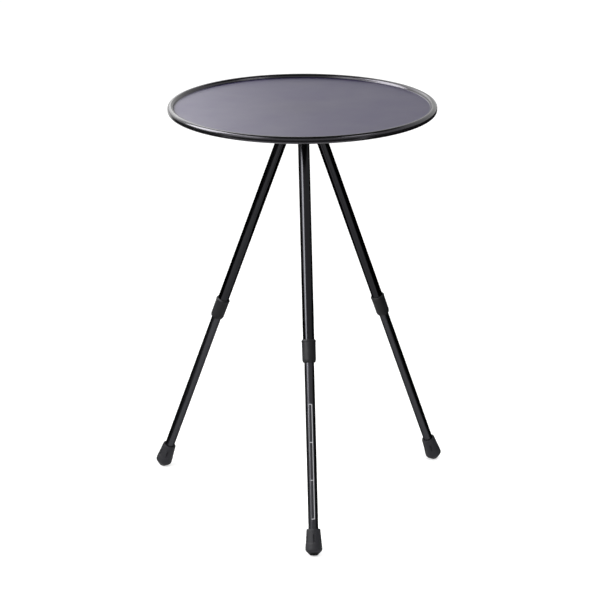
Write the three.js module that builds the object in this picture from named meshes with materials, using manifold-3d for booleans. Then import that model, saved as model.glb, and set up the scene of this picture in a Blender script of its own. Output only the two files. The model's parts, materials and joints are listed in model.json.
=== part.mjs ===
// Folding camping table: a round spun tray on a tripod of three telescoping legs.
// Millimetres, +Z up. The front leg points to -Y. The origin is on the ground, under the middle
// of the box that holds the whole table.
import * as THREE from 'three';
import { mergeVertices } from 'three/addons/utils/BufferGeometryUtils.js';
import Module from 'manifold-3d';

const wasm = await Module();
wasm.setup();

// Fits, shared by all pieces
const seatGap = 0.3; // between pieces that rest on each other or turn on each other
const slideGap = 0.2; // between tubes that slide in each other
const cutOverrun = 1; // how far a cutter runs past the face that it opens
const weldReach = 1e-4; // vertices closer than this are one vertex

// Sides of turned pieces
const traySides = 60;
const hubSides = 36;
const tubeSides = 24;
const smallSides = 16;
const hexSides = 6;

// Tray: one spun aluminium sheet with a rolled rim
const trayRadius = 200;
const traySheet = 1.5;
const trayDepth = 5;
const rimHeight = 10.5;
const rimCrestRadius = 4.7;
const rimCurlRadius = 3.2;
const rimCurlTurn = THREE.MathUtils.degToRad(140);
const trayFloorFillet = 2;

// Legs: three, evenly spread, leaning out from the hub
const legNames = ['front', 'right', 'left'];
const frontLegAngle = THREE.MathUtils.degToRad(-90);
const legSplay = THREE.MathUtils.degToRad(21.33);

// Tubes: the lower one slides in the upper one
const upperTubeDiameter = 17;
const upperTubeWall = 1;
const upperTubeLength = 313.2;
const lowerTubeWall = 0.8;
const lowerTubeLength = 311.7;
const lowerTubeHeld = 40; // what stays in the collar and the upper tube at full length

// Knuckle: the leg's top plug, with a tongue that swings in the hub
const tongueHalfWidth = 7;
const tongueThickness = 8;
const knuckleShoulder = 2;
const knuckleSpigot = 22;
const neckClearance = 1.6; // from the hub's lower corner to the knuckle's shoulder
const plugPinRadius = 1.25;
const plugPinDrop = 8; // below the shoulder
const plugPinInset = 0.4; // its ends lie this far inside the tube's skin

// Pivot screw and its lock nut
const pivotShankRadius = 2;
const pivotHeadRadius = 3.8;
const pivotHeadHeight = 2.4;
const pivotNutFlats = 7;
const pivotNutHeight = 3.2;

// Hub: a moulded core with three clevises
const coreFlat = 18.7; // from the table's axis to the flat that a knuckle's heel stops on
const coreRadius = 20;
const coreLip = 2; // how far the core hangs below the clevis ears
const earRadius = 8;
const earThickness = 6.7;
const slotCeiling = 2.8;
const hubFlangeRadius = 28;
const hubFlangeThickness = 7;
const hubSpigotRadius = 14;
const hubSpigotHeight = 3;

// Clamp: the knob and screw that hold the tray on the hub
const clampScrewRadius = 3;
const clampTravel = 8; // how far the screw comes down before the tray lifts off
const clampTipSetback = 0.6;
const clampHeadFlats = 10;
const clampHeadHeight = 3;
const clampWasherRadius = 8;
const clampWasherThickness = 1.2;
const knobHeight = 8;
const knobWeb = 3; // between the knob's top face and the pocket for the screw head
const knobClearance = 2.5; // from the knob to a folded leg
const knobLobes = 6;
const knobLobeDepth = 1.6;
const knobPointsPerLobe = 8;
const knobCapRadius = 8;
const knobCapThickness = 1.2;
const ringHeight = 10.3; // the retaining ring's lower face above the leg pivots
const ringThickness = 0.8;
const ringOuterRadius = 4.8;
const ringPlay = 0.5; // around the ring in the hub's counterbore
const ringGrooveDepth = 0.6;

// Socket: the moulded disc under the tray that the hub clamps to
const socketBossHeight = 6.8;
const socketFlangeRadius = 42;
const socketFlangeThickness = 4;
const insertBarrelRadius = 5;
const insertFlangeRadius = 8;
const insertFlangeThickness = 1.2;

// Weld studs, washers and nuts that hold the socket under the tray
const weldStudRadius = 2;
const weldStudProud = 1; // beyond its nut
const studWasherRadius = 4.5;
const studWasherThickness = 0.8;
const studNutFlats = 7;
const studNutHeight = 3.2;

// Collar: the guide on the upper tube's lower end
const collarGrip = 24; // over the upper tube
const collarNose = 10; // below the upper tube
const collarLipWall = 0.6; // at the very top, outside the upper tube's clearance
const collarBeadWall = 1.9;
const collarBodyWall = 1.5; // under the bead
const collarWaistWall = 1.35; // where the nose starts
const collarNoseWall = 0.5; // at the very bottom, outside the lower tube's clearance
const collarBeadStartShare = 0.05; // of its length, from the top
const collarBeadEndShare = 0.09;
const collarBodyStartShare = 0.13;
const collarNoseStartShare = 0.84;

// Expander: the twist lock on the lower tube's upper end
const plugFlange = 2;
const plugDepth = 15;
const expanderStudRadius = 2.5;
const expanderStudSeat = 12; // how deep the stud sits in the plug
const sleeveLength = 24;
const sleeveTaper = 14; // depth of the sleeve's conical mouth
const sleeveMouthWall = 1.4;
const sleeveSlot = 2;
const sleeveSlotShare = 0.75; // of the sleeve's length
const coneReach = 11; // how deep the cone sits in the sleeve
const coneHead = 4; // what shows above the sleeve
const coneTipSetback = 1; // from the cone's top to the stud's end

// Foot: a moulded rubber tip with a rounded, sloping end, whose sole stands on its edge
const footGrip = 28; // what holds the tube
const footTopRadius = 10.4;
const footLipRadius = 9.8;
const footShoulder = 1.6; // from the lip down to where the foot has its top radius
const footRadius = 12.65;
const footWidestDrop = 29.4; // from the lip down to where the foot is widest
const footEndRounding = 5; // from the side to the slope
const footLength = 38.9; // from the lip down to the sole
const footSoleRadius = 4.61; // the sole's flat
const footSoleRounding = 1.5; // from the sole to the slope

// Sizes that follow
const fullTurn = 2 * Math.PI;
const quarterTurn = Math.PI / 2;
const upperTubeRadius = upperTubeDiameter / 2;
const upperBoreRadius = upperTubeRadius - upperTubeWall;
const lowerTubeRadius = upperBoreRadius - slideGap;
const lowerBoreRadius = lowerTubeRadius - lowerTubeWall;

// Heights in the hub's frame, where the leg pivots lie at zero
const pivotRadius = coreFlat + seatGap + tongueHalfWidth;
const coreBottom = -(earRadius + coreLip);
const slotTop = Math.SQRT2 * tongueHalfWidth + seatGap;
const flangeBottom = slotTop + slotCeiling;
const hubTop = flangeBottom + hubFlangeThickness;
const slotWidth = tongueThickness + 2 * seatGap;
const clevisWidth = slotWidth + 2 * earThickness;
const socketBottom = hubTop + seatGap;
const socketFlangeBottom = socketBottom + socketBossHeight;
const socketTop = socketFlangeBottom + socketFlangeThickness;
const trayUnderside = socketTop + seatGap;
const rimTop = trayUnderside + traySheet + trayDepth;
const studCircle = (hubFlangeRadius + socketFlangeRadius) / 2;

// Distances from the pivot, down along a leg
const neckEnd = Math.hypot(tongueHalfWidth + seatGap, coreBottom) + neckClearance;
const spigotStart = neckEnd + knuckleShoulder;
const plugPinAt = spigotStart + plugPinDrop;
const upperTubeStart = spigotStart + seatGap;
const upperTubeEnd = upperTubeStart + upperTubeLength;
const collarStep = upperTubeEnd + seatGap;
const collarStart = collarStep - collarGrip;
const collarEnd = collarStep + collarNose;
const lowerTubeStart = collarEnd - lowerTubeHeld;
const lowerTubeEnd = lowerTubeStart + lowerTubeLength;
const plugFlangeEnd = lowerTubeStart - seatGap;
const plugFlangeStart = plugFlangeEnd - plugFlange;
const sleeveEnd = plugFlangeStart - seatGap;
const sleeveStart = sleeveEnd - sleeveLength;
const coneStart = sleeveStart - coneHead;
const footStart = lowerTubeEnd - footGrip;

// Finishes
const finish = (color, roughness, metalness) =>
  new THREE.MeshStandardMaterial({ color, roughness, metalness });
const trayPaint = finish(0x38373d, 0.42, 0.3);
const tubeAnodised = finish(0x202023, 0.38, 0.6);
const nylon = finish(0x29292c, 0.6, 0);
const rubber = finish(0x242426, 0.85, 0);
const zincSteel = finish(0xb4b6b9, 0.35, 1);
const brass = finish(0xb89b57, 0.35, 1);

// A three.js shape as one closed solid, with its seams merged and its slivers dropped.
function solidOf(geometry) {
  const bare = geometry.clone();
  bare.deleteAttribute('normal');
  bare.deleteAttribute('uv');
  const merged = mergeVertices(bare, weldReach);
  const corners = merged.index.array;
  const triangles = [];
  for (let i = 0; i < corners.length; i += 3) {
    const [a, b, c] = corners.slice(i, i + 3);
    if (a !== b && b !== c && c !== a) triangles.push(a, b, c);
  }
  return new wasm.Manifold(new wasm.Mesh({
    numProp: 3,
    vertProperties: merged.attributes.position.array,
    triVerts: new Uint32Array(triangles),
  }));
}

function geometryOf(solid) {
  const mesh = solid.getMesh();
  const geometry = new THREE.BufferGeometry();
  geometry.setAttribute('position', new THREE.BufferAttribute(mesh.vertProperties, 3));
  geometry.setIndex(new THREE.BufferAttribute(mesh.triVerts, 1));
  geometry.computeVertexNormals();
  return geometry;
}

function join(first, ...others) {
  return geometryOf(others.reduce((sum, other) => sum.add(solidOf(other)), solidOf(first)));
}

function cut(first, ...cutters) {
  return geometryOf(cutters.reduce((left, cutter) => left.subtract(solidOf(cutter)), solidOf(first)));
}

// Points on an arc of an outline, from one angle to another.
function arc(x, y, radius, from, to, steps, flatness = 1) {
  return Array.from({ length: steps + 1 }, (_, i) => {
    const angle = from + ((to - from) * i) / steps;
    return [x + radius * Math.cos(angle), y + flatness * radius * Math.sin(angle)];
  });
}

// A piece turned about Z from an outline of [radius, height] pairs that starts and ends on the axis.
function turned(outline, sides) {
  const points = outline.map(([radius, height]) => new THREE.Vector2(radius, height));
  if (THREE.ShapeUtils.area(points) < 0) points.reverse();
  return new THREE.LatheGeometry(points, sides).rotateX(quarterTurn);
}

// A turned piece with a hole: its outline closes on itself.
const turnedRing = (outline, sides) => turned([...outline, outline[0]], sides);

const rod = (radius, low, high, sides) =>
  turned([[0, low], [radius, low], [radius, high], [0, high]], sides);

const tube = (outer, inner, low, high, sides) =>
  turnedRing([[inner, low], [outer, low], [outer, high], [inner, high]], sides);

// A hexagon bar, by its width across flats.
const hexBar = (flats, low, high) => rod(flats / Math.sqrt(3), low, high, hexSides);

// An outline in the plane of X and Z, given a thickness along Y and centred on it.
function slab(outline, thickness) {
  const shape = new THREE.Shape(outline.map(([x, z]) => new THREE.Vector2(x, z)));
  const geometry = new THREE.ExtrudeGeometry(shape, { depth: thickness, bevelEnabled: false });
  return geometry.translate(0, 0, -thickness / 2).rotateX(quarterTurn);
}

// A box by its lowest and highest corners.
function box(low, high) {
  const size = high.map((value, i) => value - low[i]);
  return new THREE.BoxGeometry(...size).translate(...low.map((value, i) => value + size[i] / 2));
}

// Turns a piece that was made along Z so that it lies along Y.
const alongY = (geometry) => geometry.rotateX(-quarterTurn);

function named(name, geometry, material) {
  const mesh = new THREE.Mesh(geometry, material);
  mesh.name = name;
  return mesh;
}

const legAngle = (i) => frontLegAngle + (fullTurn * i) / legNames.length;
const gapAngle = (i) => legAngle(i) + Math.PI / legNames.length;

// Tray
function trayGeometry() {
  const crest = [trayRadius - rimCrestRadius, rimTop - rimCrestRadius];
  const curl = [trayRadius - rimCurlRadius, rimTop - rimHeight + rimCurlRadius];
  const rise = rimCrestRadius + trayFloorFillet - trayDepth;
  const reach = rimCrestRadius + trayFloorFillet;
  const lean = Math.asin(rise / reach);
  const fillet = [crest[0] - reach * Math.cos(lean), crest[1] + rise];
  const skin = (depth, crestSteps, filletSteps, curlSteps) => [
    ...arc(...fillet, trayFloorFillet + depth, -quarterTurn, -lean, filletSteps),
    ...arc(...crest, rimCrestRadius - depth, Math.PI - lean, 0, crestSteps).slice(1),
    ...arc(...curl, rimCurlRadius - depth, 0, -rimCurlTurn, curlSteps),
  ];
  const top = skin(0, 6, 2, 4);
  const under = skin(traySheet, 4, 1, 3);
  const outline = [[0, trayUnderside], ...under, ...top.reverse(), [0, trayUnderside + traySheet]];
  return turned(outline, traySides);
}

// Socket, insert and studs under the tray
const spigotPocketTop = socketBottom + hubSpigotHeight + seatGap;
const insertFlangeBottom = socketTop - insertFlangeThickness;

function socketGeometry() {
  const body = turned([
    [0, socketBottom],
    [hubFlangeRadius, socketBottom],
    [hubFlangeRadius, socketFlangeBottom],
    [socketFlangeRadius, socketFlangeBottom],
    [socketFlangeRadius, socketTop],
    [0, socketTop],
  ], hubSides);
  const pocket = rod(hubSpigotRadius + seatGap, socketBottom - cutOverrun, spigotPocketTop, hubSides);
  const barrelHole = rod(insertBarrelRadius + seatGap, socketBottom, socketTop, smallSides);
  const flangeHole = rod(insertFlangeRadius + seatGap, insertFlangeBottom - seatGap,
    socketTop + cutOverrun, tubeSides);
  const studHoles = legNames.map((_, i) => rod(weldStudRadius + seatGap,
    socketFlangeBottom - cutOverrun, socketTop + cutOverrun, smallSides)
    .translate(studCircle, 0, 0).rotateZ(gapAngle(i)));
  return cut(body, pocket, barrelHole, flangeHole, ...studHoles);
}

function insertGeometry() {
  const bore = clampScrewRadius + seatGap;
  return turnedRing([
    [bore, spigotPocketTop + seatGap],
    [insertBarrelRadius, spigotPocketTop + seatGap],
    [insertBarrelRadius, insertFlangeBottom],
    [insertFlangeRadius, insertFlangeBottom],
    [insertFlangeRadius, socketTop],
    [bore, socketTop],
  ], smallSides);
}

function makeTabletop() {
  const tabletop = new THREE.Group();
  tabletop.add(named('table_top', trayGeometry(), trayPaint));
  tabletop.add(named('top_socket', socketGeometry(), nylon));
  tabletop.add(named('socket_insert', insertGeometry(), brass));
  const washerTop = socketFlangeBottom - seatGap;
  const nutTop = washerTop - studWasherThickness - seatGap;
  const nutBottom = nutTop - studNutHeight;
  const hole = weldStudRadius + seatGap;
  legNames.forEach((_, i) => {
    const place = new THREE.Group();
    place.rotation.z = gapAngle(i);
    const stud = rod(weldStudRadius, nutBottom - weldStudProud, socketTop, smallSides);
    const washer = tube(studWasherRadius, hole, washerTop - studWasherThickness, washerTop, smallSides);
    const nut = cut(hexBar(studNutFlats, nutBottom, nutTop),
      rod(hole, nutBottom - cutOverrun, nutTop + cutOverrun, smallSides));
    place.add(named(`weld_stud_${i + 1}`, stud, zincSteel));
    place.add(named(`stud_washer_${i + 1}`, washer, zincSteel));
    place.add(named(`stud_nut_${i + 1}`, nut, zincSteel));
    place.children.forEach((mesh) => mesh.geometry.translate(studCircle, 0, 0));
    tabletop.add(place);
  });
  return tabletop;
}

// Hub
const counterboreBottom = ringHeight - clampTravel - seatGap;
const headPocketEnd = clevisWidth / 2 - pivotHeadHeight - 2 * seatGap;
const nutPocketEnd = clevisWidth / 2 - pivotNutHeight - 2 * seatGap;

function hubGeometry() {
  const core = rod(coreRadius, coreBottom, hubTop, hubSides);
  const flange = rod(hubFlangeRadius, flangeBottom, hubTop, hubSides);
  const spigot = rod(hubSpigotRadius, coreBottom, hubTop + hubSpigotHeight, hubSides);
  const earReach = pivotRadius + earRadius;
  const clevises = legNames.map((_, i) => slab([
    [0, coreBottom],
    [coreFlat, coreBottom],
    ...arc(pivotRadius, 0, earRadius, -quarterTurn, 0, 5),
    [earReach, hubTop],
    [0, hubTop],
  ], clevisWidth).rotateZ(legAngle(i)));
  const slots = legNames.map((_, i) => box(
    [coreFlat, -slotWidth / 2, coreBottom - cutOverrun],
    [earReach + cutOverrun, slotWidth / 2, slotTop],
  ).rotateZ(legAngle(i)));
  const side = clevisWidth / 2 + cutOverrun;
  const pivotHoles = legNames.flatMap((_, i) => [
    rod(pivotShankRadius + seatGap, -side, side, smallSides),
    rod(pivotHeadRadius + seatGap, -side, -headPocketEnd, smallSides),
    hexBar(pivotNutFlats + 2 * seatGap, nutPocketEnd, side),
  ].map((cutter) => alongY(cutter).translate(pivotRadius, 0, 0).rotateZ(legAngle(i))));
  const bore = rod(clampScrewRadius + seatGap, coreBottom - cutOverrun, hubTop, smallSides);
  const counterbore = rod(ringOuterRadius + ringPlay, counterboreBottom,
    hubTop + hubSpigotHeight + cutOverrun, smallSides);
  return cut(join(core, flange, spigot, ...clevises), ...slots, ...pivotHoles, bore, counterbore);
}

function makeHub() {
  const hub = new THREE.Group();
  hub.add(named('tripod_hub', hubGeometry(), nylon));
  const headSeat = -(headPocketEnd + seatGap);
  const nutInner = nutPocketEnd + seatGap;
  const nutOuter = nutInner + pivotNutHeight;
  legNames.forEach((name, i) => {
    const place = new THREE.Group();
    place.rotation.z = legAngle(i);
    const screw = turned([
      [0, headSeat - pivotHeadHeight],
      [pivotHeadRadius, headSeat - pivotHeadHeight],
      [pivotHeadRadius, headSeat],
      [pivotShankRadius, headSeat],
      [pivotShankRadius, nutOuter],
      [0, nutOuter],
    ], smallSides);
    const nut = cut(hexBar(pivotNutFlats, nutInner, nutOuter),
      rod(pivotShankRadius + seatGap, nutInner - cutOverrun, nutOuter + cutOverrun, smallSides));
    place.add(named(`pivot_screw_${name}`, alongY(screw), zincSteel));
    place.add(named(`pivot_nut_${name}`, alongY(nut), zincSteel));
    place.children.forEach((mesh) => mesh.geometry.translate(pivotRadius, 0, 0));
    hub.add(place);
  });
  return hub;
}

// Clamp
const washerTop = coreBottom - seatGap;
const washerBottom = washerTop - clampWasherThickness;
const knobTop = washerBottom - seatGap;
const knobBottom = knobTop - knobHeight;
const headPocketTop = knobTop - knobWeb;
const screwHeadTop = headPocketTop - seatGap;

function knobGeometry() {
  const knobRadius = pivotRadius - upperTubeRadius - knobClearance;
  const count = knobLobes * knobPointsPerLobe;
  const outline = Array.from({ length: count }, (_, i) => {
    const angle = (fullTurn * i) / count;
    const radius = knobRadius - (knobLobeDepth * (1 - Math.cos(knobLobes * angle))) / 2;
    return new THREE.Vector2(radius * Math.cos(angle), radius * Math.sin(angle));
  });
  const body = new THREE.ExtrudeGeometry(new THREE.Shape(outline),
    { depth: knobHeight, bevelEnabled: false }).translate(0, 0, knobBottom);
  const bore = rod(clampScrewRadius + seatGap, knobBottom, knobTop + cutOverrun, smallSides);
  const headPocket = hexBar(clampHeadFlats + 2 * seatGap, knobBottom - cutOverrun, headPocketTop);
  const capPocket = rod(knobCapRadius + seatGap, knobBottom - cutOverrun,
    knobBottom + knobCapThickness + seatGap, tubeSides);
  return cut(body, bore, headPocket, capPocket);
}

function clampScrewGeometry() {
  const tip = socketTop - clampTipSetback;
  const neck = clampScrewRadius - ringGrooveDepth;
  const shank = turned([
    [0, screwHeadTop - clampHeadHeight / 2],
    [clampScrewRadius, screwHeadTop - clampHeadHeight / 2],
    [clampScrewRadius, ringHeight - seatGap],
    [neck, ringHeight - seatGap],
    [neck, ringHeight + ringThickness + seatGap],
    [clampScrewRadius, ringHeight + ringThickness + seatGap],
    [clampScrewRadius, tip],
    [0, tip],
  ], smallSides);
  return join(hexBar(clampHeadFlats, screwHeadTop - clampHeadHeight, screwHeadTop), shank);
}

function makeClamp() {
  const clamp = new THREE.Group();
  const washer = tube(clampWasherRadius, clampScrewRadius + seatGap, washerBottom, washerTop, tubeSides);
  const ring = tube(ringOuterRadius, clampScrewRadius - ringGrooveDepth + seatGap,
    ringHeight, ringHeight + ringThickness, smallSides);
  const cap = rod(knobCapRadius, knobBottom, knobBottom + knobCapThickness, tubeSides);
  clamp.add(named('clamp_washer', washer, zincSteel));
  clamp.add(named('clamp_knob', knobGeometry(), nylon));
  clamp.add(named('clamp_screw', clampScrewGeometry(), zincSteel));
  clamp.add(named('retaining_ring', ring, zincSteel));
  clamp.add(named('knob_cap', cap, nylon));
  return clamp;
}

// Legs: each piece lies along its leg, with the pivot at zero and the foot below
function knuckleGeometry() {
  const up = [Math.sin(legSplay), Math.cos(legSplay)];
  const inward = [-up[1], up[0]];
  const heel = [0, 1].map((axis) => tongueHalfWidth * (up[axis] + inward[axis]));
  const tongue = slab([
    [-tongueHalfWidth, -neckEnd],
    [tongueHalfWidth, -neckEnd],
    ...arc(0, 0, tongueHalfWidth, 0, quarterTurn - legSplay, 4),
    heel,
    ...arc(0, 0, tongueHalfWidth, Math.PI - legSplay, Math.PI, 2),
  ], tongueThickness);
  const shoulder = rod(upperTubeRadius, -spigotStart, -neckEnd, tubeSides);
  const spigot = rod(upperBoreRadius - seatGap, -(spigotStart + knuckleSpigot), -neckEnd, tubeSides);
  const pivotHole = alongY(rod(pivotShankRadius + seatGap, -tongueThickness, tongueThickness, smallSides));
  return cut(join(tongue, shoulder, spigot), pivotHole, plugPinHole());
}

const plugPinHole = () => alongY(rod(plugPinRadius + seatGap, -upperTubeDiameter, upperTubeDiameter,
  smallSides)).translate(0, 0, -plugPinAt);

function plugPinGeometry() {
  const half = upperTubeRadius - plugPinInset;
  return alongY(rod(plugPinRadius, -half, half, smallSides)).translate(0, 0, -plugPinAt);
}

function upperTubeGeometry() {
  const plain = tube(upperTubeRadius, upperBoreRadius, -upperTubeEnd, -upperTubeStart, tubeSides);
  return cut(plain, plugPinHole());
}

function collarGeometry() {
  const grip = upperTubeRadius + seatGap;
  const guide = lowerTubeRadius + seatGap;
  const down = (share) => -(collarStart + share * (collarEnd - collarStart));
  const noseStart = down(collarNoseStartShare);
  const noseRadius = grip + collarWaistWall - guide - collarNoseWall;
  const noseFlatness = (collarEnd + noseStart) / noseRadius;
  return turnedRing([
    [guide, -collarEnd],
    ...arc(guide + collarNoseWall, noseStart, noseRadius, -quarterTurn, 0, 3, noseFlatness),
    [grip + collarBodyWall, down(collarBodyStartShare)],
    [grip + collarBeadWall, down(collarBeadEndShare)],
    [grip + collarBeadWall, down(collarBeadStartShare)],
    [grip + collarLipWall, -collarStart],
    [grip, -collarStart],
    [grip, -collarStep],
    [guide, -collarStep],
  ], tubeSides);
}

function plugGeometry() {
  const bore = expanderStudRadius + seatGap;
  const body = lowerBoreRadius - seatGap;
  return turnedRing([
    [bore, -(plugFlangeEnd + plugDepth)],
    [body, -(plugFlangeEnd + plugDepth)],
    [body, -plugFlangeEnd],
    [lowerTubeRadius, -plugFlangeEnd],
    [lowerTubeRadius, -plugFlangeStart],
    [bore, -plugFlangeStart],
  ], smallSides);
}

const sleeveRadius = upperBoreRadius - slideGap;
const sleeveBore = expanderStudRadius + seatGap;
const sleeveMouth = sleeveRadius - sleeveMouthWall;

function sleeveGeometry() {
  const body = turnedRing([
    [sleeveBore, -sleeveEnd],
    [sleeveRadius, -sleeveEnd],
    [sleeveRadius, -sleeveStart],
    [sleeveMouth, -sleeveStart],
    [sleeveBore + seatGap, -(sleeveStart + sleeveTaper)],
    [sleeveBore, -(sleeveStart + sleeveTaper)],
  ], smallSides);
  const slotEnd = sleeveStart + sleeveSlotShare * sleeveLength;
  const slot = box([0, -sleeveSlot / 2, -slotEnd],
    [sleeveRadius + cutOverrun, sleeveSlot / 2, -sleeveStart + cutOverrun]);
  return cut(body, slot);
}

function coneGeometry() {
  const taper = (sleeveMouth - sleeveBore - seatGap) / sleeveTaper;
  const mouth = sleeveMouth - 2 * seatGap;
  const tip = mouth - taper * coneReach;
  return turnedRing([
    [sleeveBore, -(sleeveStart + coneReach)],
    [tip, -(sleeveStart + coneReach)],
    [mouth, -sleeveStart],
    [mouth, -coneStart],
    [sleeveBore, -coneStart],
  ], smallSides);
}

function footGeometry() {
  const bore = lowerTubeRadius + seatGap;
  const sole = -(footStart + footLength);
  const widest = -(footStart + footWidestDrop);
  const taper = Math.atan2(footRadius - footTopRadius, footWidestDrop - footShoulder);
  const slope = -quarterTurn / 2;
  return turned([
    [0, sole],
    [footSoleRadius, sole],
    ...arc(footSoleRadius, sole + footSoleRounding, footSoleRounding, legSplay - quarterTurn, slope, 2),
    ...arc(footRadius - footEndRounding, widest, footEndRounding, slope, taper, 4),
    [footTopRadius, -(footStart + footShoulder)],
    [footLipRadius, -footStart],
    [bore, -footStart],
    [bore, -(lowerTubeEnd + seatGap)],
    [0, -(lowerTubeEnd + seatGap)],
  ], tubeSides);
}

function makeLeg(name) {
  const leg = new THREE.Group();
  const add = (piece, geometry, material) => leg.add(named(`${piece}_${name}`, geometry, material));
  const stud = rod(expanderStudRadius, -(plugFlangeEnd + expanderStudSeat),
    -(coneStart + coneTipSetback), smallSides);
  const lowerTube = tube(lowerTubeRadius, lowerBoreRadius, -lowerTubeEnd, -lowerTubeStart, tubeSides);
  add('leg_knuckle', knuckleGeometry(), nylon);
  add('plug_pin', plugPinGeometry(), zincSteel);
  add('upper_tube', upperTubeGeometry(), tubeAnodised);
  add('leg_collar', collarGeometry(), nylon);
  add('expander_cone', coneGeometry(), nylon);
  add('expander_sleeve', sleeveGeometry(), nylon);
  add('expander_stud', stud, zincSteel);
  add('expander_plug', plugGeometry(), nylon);
  add('lower_tube', lowerTube, tubeAnodised);
  add('leg_foot', footGeometry(), rubber);
  leg.position.x = pivotRadius;
  leg.rotation.y = -legSplay;
  return leg;
}

const table = new THREE.Group();
table.add(makeTabletop(), makeHub(), makeClamp());
legNames.forEach((name, i) => {
  const direction = new THREE.Group();
  direction.rotation.z = legAngle(i);
  direction.add(makeLeg(name));
  table.add(direction);
});

// Stands the table on the ground, over the middle of its box
const outer = new THREE.Box3().setFromObject(table, true);
const middle = outer.getCenter(new THREE.Vector3());
table.position.set(-middle.x, -middle.y, -outer.min.z);

export default table;
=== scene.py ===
import json
import math

import bmesh
import bpy
from mathutils import Matrix, Vector


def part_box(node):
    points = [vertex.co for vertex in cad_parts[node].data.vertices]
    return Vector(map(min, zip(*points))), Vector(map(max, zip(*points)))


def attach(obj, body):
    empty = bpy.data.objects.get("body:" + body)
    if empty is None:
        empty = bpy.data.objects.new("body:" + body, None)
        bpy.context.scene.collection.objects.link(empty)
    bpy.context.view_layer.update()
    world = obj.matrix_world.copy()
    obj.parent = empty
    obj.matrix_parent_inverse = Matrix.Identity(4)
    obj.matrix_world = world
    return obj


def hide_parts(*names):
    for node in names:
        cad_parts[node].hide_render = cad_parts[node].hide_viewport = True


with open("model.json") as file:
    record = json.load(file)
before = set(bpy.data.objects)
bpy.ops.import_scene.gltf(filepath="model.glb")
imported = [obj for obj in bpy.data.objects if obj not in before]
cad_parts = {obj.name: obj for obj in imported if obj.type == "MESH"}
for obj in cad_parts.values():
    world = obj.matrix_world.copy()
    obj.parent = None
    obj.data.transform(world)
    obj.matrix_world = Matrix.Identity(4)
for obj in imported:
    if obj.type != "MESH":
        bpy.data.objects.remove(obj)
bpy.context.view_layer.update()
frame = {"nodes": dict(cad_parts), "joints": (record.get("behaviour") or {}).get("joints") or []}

# A folding camping table: a round spun tray on a tripod of three telescoping legs.
# Lengths are in metres; sizes are written in millimetres times MM, and turns in degrees.
MM = 0.001
FULL_TURN = math.tau
ALONG_Y = Matrix.Rotation(math.radians(-90), 4, "X")
MERGE_REACH = 0.002 * MM
GUARD_INSET = 0.25 * MM
CUT_OVERRUN = 1 * MM
CUT_TRIES = 4
LEG_NAMES = ("front", "right", "left")
LEG_TURNS = (-90, 30, 150)

# Fits, as in the part
SEAT_GAP = 0.3 * MM

# Tray: its section, and the radii between which the floor's finish turns into the rim's
TRAY_SHEET = 1.5 * MM
TRAY_DEPTH = 5 * MM
RIM_CREST = 4.7 * MM
RIM_CURL = 3.2 * MM
RIM_CURL_TURN = 140
FLOOR_FILLET = 2 * MM
TRAY_STEPS = 240
RIM_SHADE = (188.8 * MM, 190.6 * MM)

# Tubes
UPPER_TUBE_RADIUS = 8.5 * MM
UPPER_WALL = 1 * MM
LOWER_TUBE_RADIUS = 7.3 * MM
LOWER_WALL = 0.8 * MM
TUBE_STEPS = 72
TUBE_EDGE = 0.15 * MM

# Collar
COLLAR_CORNERS = (
    # share of the length from the top, wall outside the upper tube's clearance, fillet
    (0.0, 0.6 * MM, 0.2 * MM),
    (0.055, 1.9 * MM, 0.8 * MM),
    (0.09, 1.9 * MM, 0.4 * MM),
    (0.12, 1.5 * MM, 0.6 * MM),
)
COLLAR_NOSE_SHARE = 0.84
COLLAR_WAIST_WALL = 1.35 * MM
COLLAR_NOSE_WALL = 0.5 * MM
COLLAR_GRIP_DEPTH = 24 * MM
COLLAR_STEPS = 96
COLLAR_NOTCHES = 10
COLLAR_NOTCH_DEPTH = 0.45 * MM
COLLAR_NOTCH_HALF = 1.1 * MM

# Foot: its grip, its wide end, and the heights between which the painted shade under it gives way to the
# side's colour
FOOT_GRIP = 20.9 * MM
FOOT_CORNERS = (
    # radius, drop from the top, fillet
    (9.9 * MM, 0, 0.3 * MM),
    (10.35 * MM, 1.3 * MM, 0.6 * MM),
    (11.85 * MM, FOOT_GRIP, 0.3 * MM),
    (12.15 * MM, FOOT_GRIP + 0.8 * MM, 0.3 * MM),
)
FOOT_WIDEST_DROP = 29.4 * MM
FOOT_END_ROUNDING = 5 * MM
FOOT_SOLE_RADIUS = 4.6 * MM
FOOT_SOLE_ROUNDING = 1.5 * MM
FOOT_SHADE_EDGE = (3.6 * MM, 5.2 * MM)
FOOT_STEPS = 144
FOOT_GROOVES = 6
FOOT_GROOVE_DEPTH = 1.6 * MM
FOOT_GROOVE_HALF = 1.1 * MM

# Hub, in its own frame, where the leg pivots lie at height zero
HUB_RADIUS = 28 * MM
HUB_STEPS = 144
HUB_WEB = 2 * MM
CORE_RADIUS = 20 * MM
CORE_FLAT = 18.7 * MM
PIVOT_RADIUS = 26 * MM
EAR_RADIUS = 8 * MM
CLEVIS_HALF = 11 * MM
SLOT_HALF = 4.3 * MM
SLOT_TOP = 10.2 * MM
HUB_FLANGE = 7 * MM
HUB_SPIGOT_RADIUS = 14 * MM
HUB_SPIGOT_HEIGHT = 3 * MM
HEAD_POCKET = 8 * MM
NUT_POCKET = 7.2 * MM
COUNTERBORE_LOW = 2 * MM
RING_BORE = 5.3 * MM
PIVOT_SHANK = 2 * MM
PIVOT_HEAD = 3.8 * MM
PIVOT_KEY = 2.5 * MM

# Socket, its insert and the weld studs
SOCKET_FLANGE = 4 * MM
SOCKET_WEB = 1.6 * MM
SOCKET_WEB_LEAN = 24
INSERT_BARREL = 5 * MM
INSERT_FLANGE = 1.2 * MM
KNURLS = 30
KNURL_DEPTH = 0.18 * MM
STUD_NUMBERS = (1, 2, 3)
STUD_RADIUS = 2 * MM
M4_PITCH = 0.7 * MM
M4_FLATS = 7 * MM

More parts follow.
